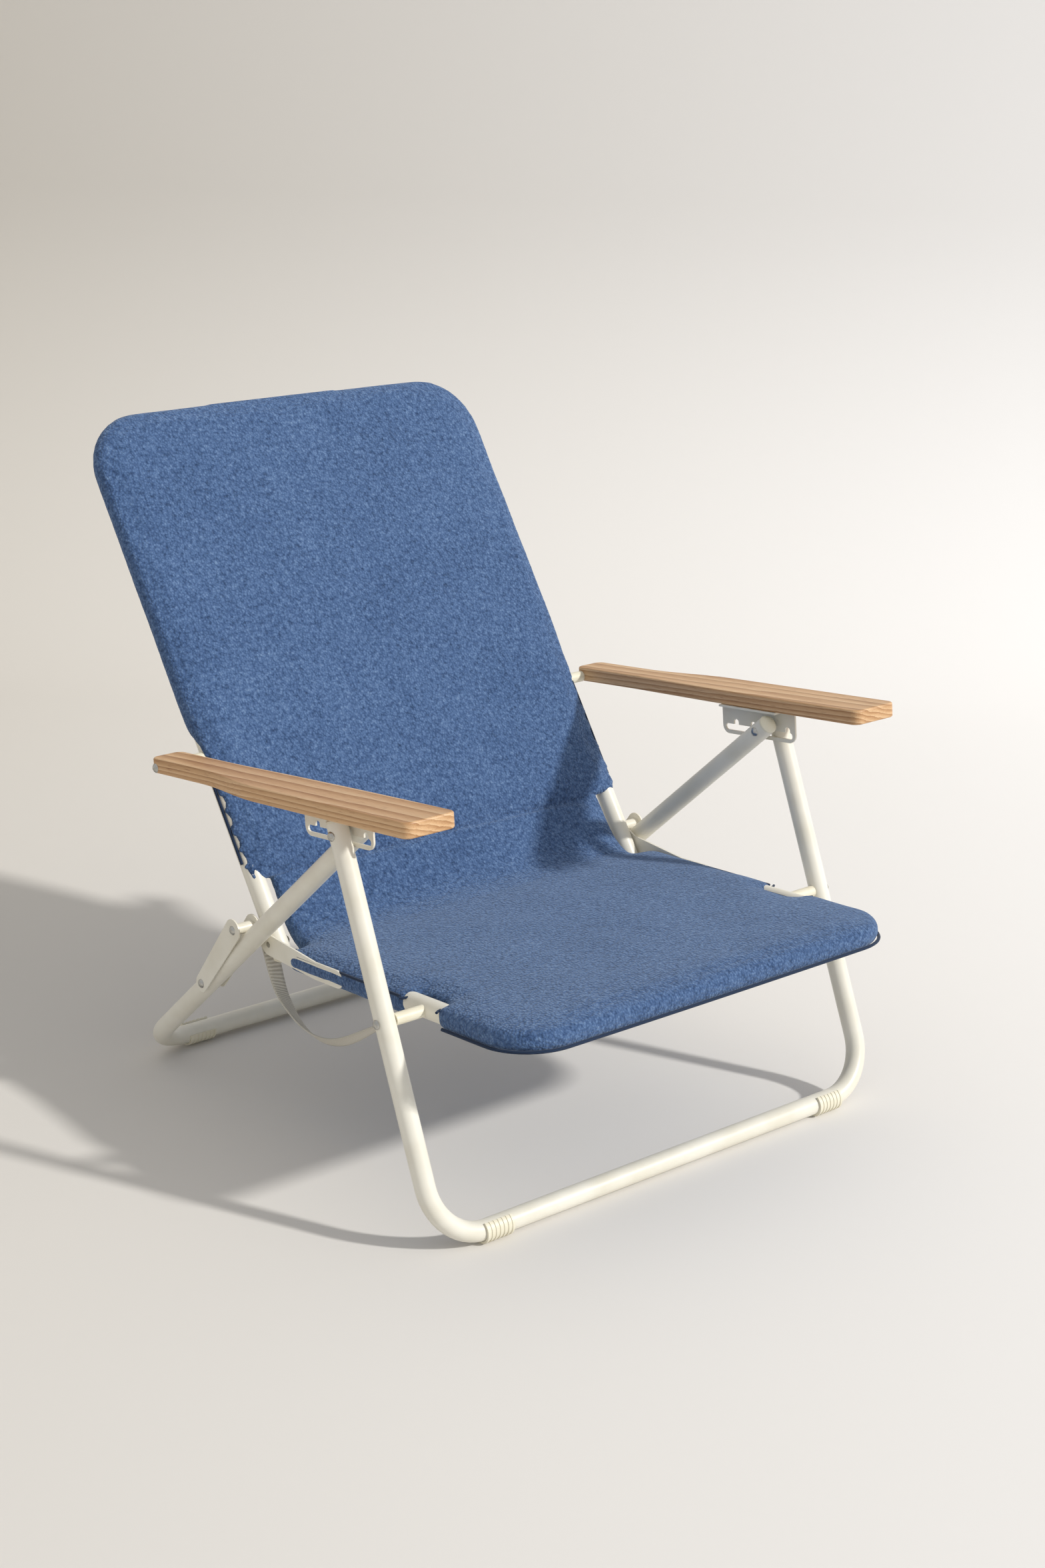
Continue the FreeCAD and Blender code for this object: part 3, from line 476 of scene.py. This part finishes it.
yarn = add_node(terry, "ShaderNodeMath",
                {0: worn.outputs["Fac"], 1: 0.12, 2: heather.outputs["Fac"]}, operation="MULTIPLY_ADD")
yarn_colour = blend_colours(terry, yarn.outputs["Value"],
                            [(0.36, "#2c4263"), (0.5, "#435d84"), (0.6, "#536e96"), (0.76, "#7089ab")])
# painted shade: the colour darkens in the gaps between the loops, where they shade one another
painted_loop_gap_shade = blend_colours(terry, loops.outputs["Distance"], [(0.15, "#ffffff"), (0.75, "#a9b6c9")])
terry_mix = add_node(terry, "ShaderNodeMix", {0: 0.7, 6: yarn_colour, 7: painted_loop_gap_shade},
                     data_type="RGBA", blend_type="MULTIPLY")
terry.node_tree.links.new(terry_mix.outputs[2], terry_shader.inputs["Base Color"])
loop_depth = add_node(terry, "ShaderNodeMath", {0: 1.0, 1: loops.outputs["Distance"]},
                      operation="SUBTRACT")
rough_surface(terry, terry_shader, loop_depth.outputs["Value"], 0.75, 0.0016)
seat_sleeve.data.materials.append(terry)
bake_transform(seat_sleeve)
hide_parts("seat_cover")

# ---- Back cover -----------------------------------------------------------------------
# The same terry makes a padded bag that is pulled down over the back frame.
# Its front reaches round the tubes down to the crease, and its rear is shorter.
BACK_FROM, BACK_TO, BACK_HALF, LOWER_HALF = 62.0, 575.0, 249.0, 245.5


def back_half_width(s):
    return LOWER_HALF + (BACK_HALF - LOWER_HALF) * smooth_step(190, 260, s)


def back_top(x, s):
    crown = 1.2 * (1 - (x / 250) ** 2)
    pucker = 1.6 * noise.noise(Vector((x / 40, s / 55, 4.2)))
    return 10.6 + 0.8 * smooth_step(190, 250, s) + crown + pucker


def back_under(x, s):
    low = -8.0 + 9.0 * smooth_step(214, 226, abs(x))
    whole = -11.6 + 0.9 * noise.noise(Vector((x / 50, s / 60, 7.7)))
    return low + (whole - low) * smooth_step(205, 235, s)


back_outline = [(x, BACK_FROM + BACK_TO - s) for x, s in rounded_outline(
    lambda t: back_half_width(BACK_FROM + BACK_TO - t), BACK_FROM, BACK_TO, (64.0, 8.0), 1.0)]
back_sleeve = pad_blank("back_cover_sleeve", back_outline[::-1], back_top, back_under, 15.0, back_point)
stuff(back_sleeve, 0.005, 3.0, 0.0035)
remember_places(back_sleeve)
back_sleeve.data.materials.append(terry)
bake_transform(back_sleeve)
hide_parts("back_cover")

# ---- Navy binding ----------------------------------------------------------------------
# Folded navy cotton tape binds the seat's seams and the lower edges of the
# back.  It is a round cord under flat tape, stitched all the way.


def bound_edge(name, path, radius, body):
    """A cord of binding along a path of points in metres."""
    line = bpy.data.curves.new(name, "CURVE")
    line.dimensions, line.bevel_depth, line.bevel_resolution = "3D", radius, 3
    line.use_fill_caps = True
    strand = line.splines.new("NURBS")
    strand.points.add(len(path) - 1)
    for point, place in zip(strand.points, path):
        point.co = (*place, 1.0)
    strand.order_u, strand.use_endpoint_u = 3, True
    soft = bpy.data.objects.new(name, line)
    bpy.context.collection.objects.link(soft)
    piece = bpy.data.objects.new(name, bpy.data.meshes.new_from_object(soft))
    bpy.data.objects.remove(soft)
    bpy.context.collection.objects.link(piece)
    piece.data.polygons.foreach_set("use_smooth", [True] * len(piece.data.polygons))
    remember_places(piece)
    piece.data.materials.clear()
    piece.data.materials.append(navy_tape)
    if body:
        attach(piece, body)
    return piece


# Cotton tape: a close ribbed weave, ribs 1 mm apart, dull and very dark blue.
navy_tape, tape_shader = new_finish("navy_cotton_tape", Roughness=0.85, Specular_IOR_Level=0.2,
                                    Sheen_Weight=0.15)
tape_spot = add_node(navy_tape, "ShaderNodeAttribute", attribute_name="at_rest").outputs["Vector"]
ribs = add_node(navy_tape, "ShaderNodeTexWave",
                {"Vector": tape_spot, "Scale": 0.314 / 0.001, "Distortion": 0.5},
                bands_direction="DIAGONAL")
navy_tape.node_tree.links.new(
    blend_colours(navy_tape, ribs.outputs["Fac"], [(0.0, "#16243a"), (1.0, "#22344f")]),
    tape_shader.inputs["Base Color"])
rough_surface(navy_tape, tape_shader, ribs.outputs["Fac"], 0.5, 0.0003)

for word, side in (("left", -1), ("right", 1)):
    ends = np.arange(NOTCH_HALF + 6, side_to - 4, 12.0)
    bound_edge("seat_side_binding_" + word,
               [seat_point(side * (seat_half_width(t) - 3.2), t, 7.2) for t in ends], 0.0015, "seat")
    arch = [NOTCH_HALF + 3 - 2 * k for k in range(0, int(NOTCH_HALF) + 4)]
    bound_edge("notch_binding_" + word,
               [seat_point(side * (seat_half_width(t) + 0.5), t, 6.5) for t in arch],
               0.0013, "seat")
    hem = [back_point(side * (LOWER_HALF - 0.5), s, 3.0) for s in range(84, 216, 12)]
    edge_hem = bound_edge("back_lower_binding_" + word, hem, 0.0016, None)
    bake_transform(edge_hem)
front_run = [(x, t) for x, t in rounded_outline(seat_half_width, SEAT_FRONT, flap_to, (54.0, 6.0), 1.5)
             if t < -NOTCH_HALF - 6]
front_run.sort(key=lambda p: math.atan2(p[0], -p[1]))
bound_edge("seat_front_binding", [seat_point(x, t, -8.0) for x, t in front_run], 0.0017, "seat")

# ---- Carry strap ---------------------------------------------------------------------
# A strap of undyed cotton webbing hangs in a loop under the left side.  Its
# front end is tucked into the seat's notch, and the rear end is on the bracket.
STRAP_WIDE, STRAP_THICK = 17.0, 1.7
strap_low, strap_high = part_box("carry_strap")
strap_mid = (strap_low[0] + strap_high[0]) / 2
route = [(-0.2063, 0.1955), (-0.185, 0.188), (-0.152, 0.168), (-0.115, 0.143), (-0.085, 0.123),
         (-0.053, 0.1125), (-0.022, 0.114), (0.0, 0.126), (0.018, 0.140), (0.0275, 0.160),
         (0.035, 0.178), (0.0425, 0.195)]
strand = bpy.data.curves.new("strap_route", "CURVE")
strand.dimensions = "3D"
run = strand.splines.new("NURBS")
run.points.add(len(route) - 1)
for point, (y, z) in zip(run.points, route):
    point.co = (strap_mid, y, z, 1.0)
run.order_u, run.use_endpoint_u, run.resolution_u = 4, True, 8
guide = bpy.data.objects.new("strap_route", strand)
bpy.context.collection.objects.link(guide)
line = [v.co.copy() for v in bpy.data.meshes.new_from_object(guide).vertices]
bpy.data.objects.remove(guide)
web_points, web_faces = [], []
for i, place in enumerate(line):
    along = (line[min(i + 1, len(line) - 1)] - line[max(i - 1, 0)]).normalized()
    twist = math.radians(42) * math.sin(math.pi * i / (len(line) - 1)) ** 2
    flat_way = Matrix.Rotation(twist, 3, along) @ Vector((1, 0, 0))
    thick_way = along.cross(flat_way)
    for u, v in ((-1, -1), (-0.5, -1), (0, -1), (0.5, -1), (1, -1), (1, 1), (0.5, 1), (0, 1),
                 (-0.5, 1), (-1, 1)):
        web_points.append(place + flat_way * u * STRAP_WIDE / 2000 + thick_way * v * STRAP_THICK / 2000)
for i in range(len(line) - 1):
    for k in range(10):
        m = (k + 1) % 10
        web_faces.append((i * 10 + k, i * 10 + m, (i + 1) * 10 + m, (i + 1) * 10 + k))
web_faces += [tuple(range(9, -1, -1)), tuple(range(len(web_points) - 10, len(web_points)))]
strap = mesh_piece("webbing_strap", web_points, web_faces)
remember_places(strap)

# Cotton webbing: a thick plain weave with ribs 1.6 mm apart across it, dull and off-white.
webbing, webbing_shader = new_finish("undyed_cotton_webbing", Roughness=0.9,
                                     Specular_IOR_Level=0.2, Sheen_Weight=0.1)
web_spot = add_node(webbing, "ShaderNodeAttribute", attribute_name="at_rest").outputs["Vector"]
picks = add_node(webbing, "ShaderNodeTexWave",
                 {"Vector": web_spot, "Scale": 0.314 / 0.0016, "Distortion": 0.8},
                 bands_direction="Y")
webbing.node_tree.links.new(
    blend_colours(webbing, picks.outputs["Fac"], [(0.0, "#b5aea0"), (1.0, "#d8d4c8")]),
    webbing_shader.inputs["Base Color"])
rough_surface(webbing, webbing_shader, picks.outputs["Fac"], 0.6, 0.0005)
strap.data.materials.append(webbing)
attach(strap, "seat")
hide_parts("carry_strap")
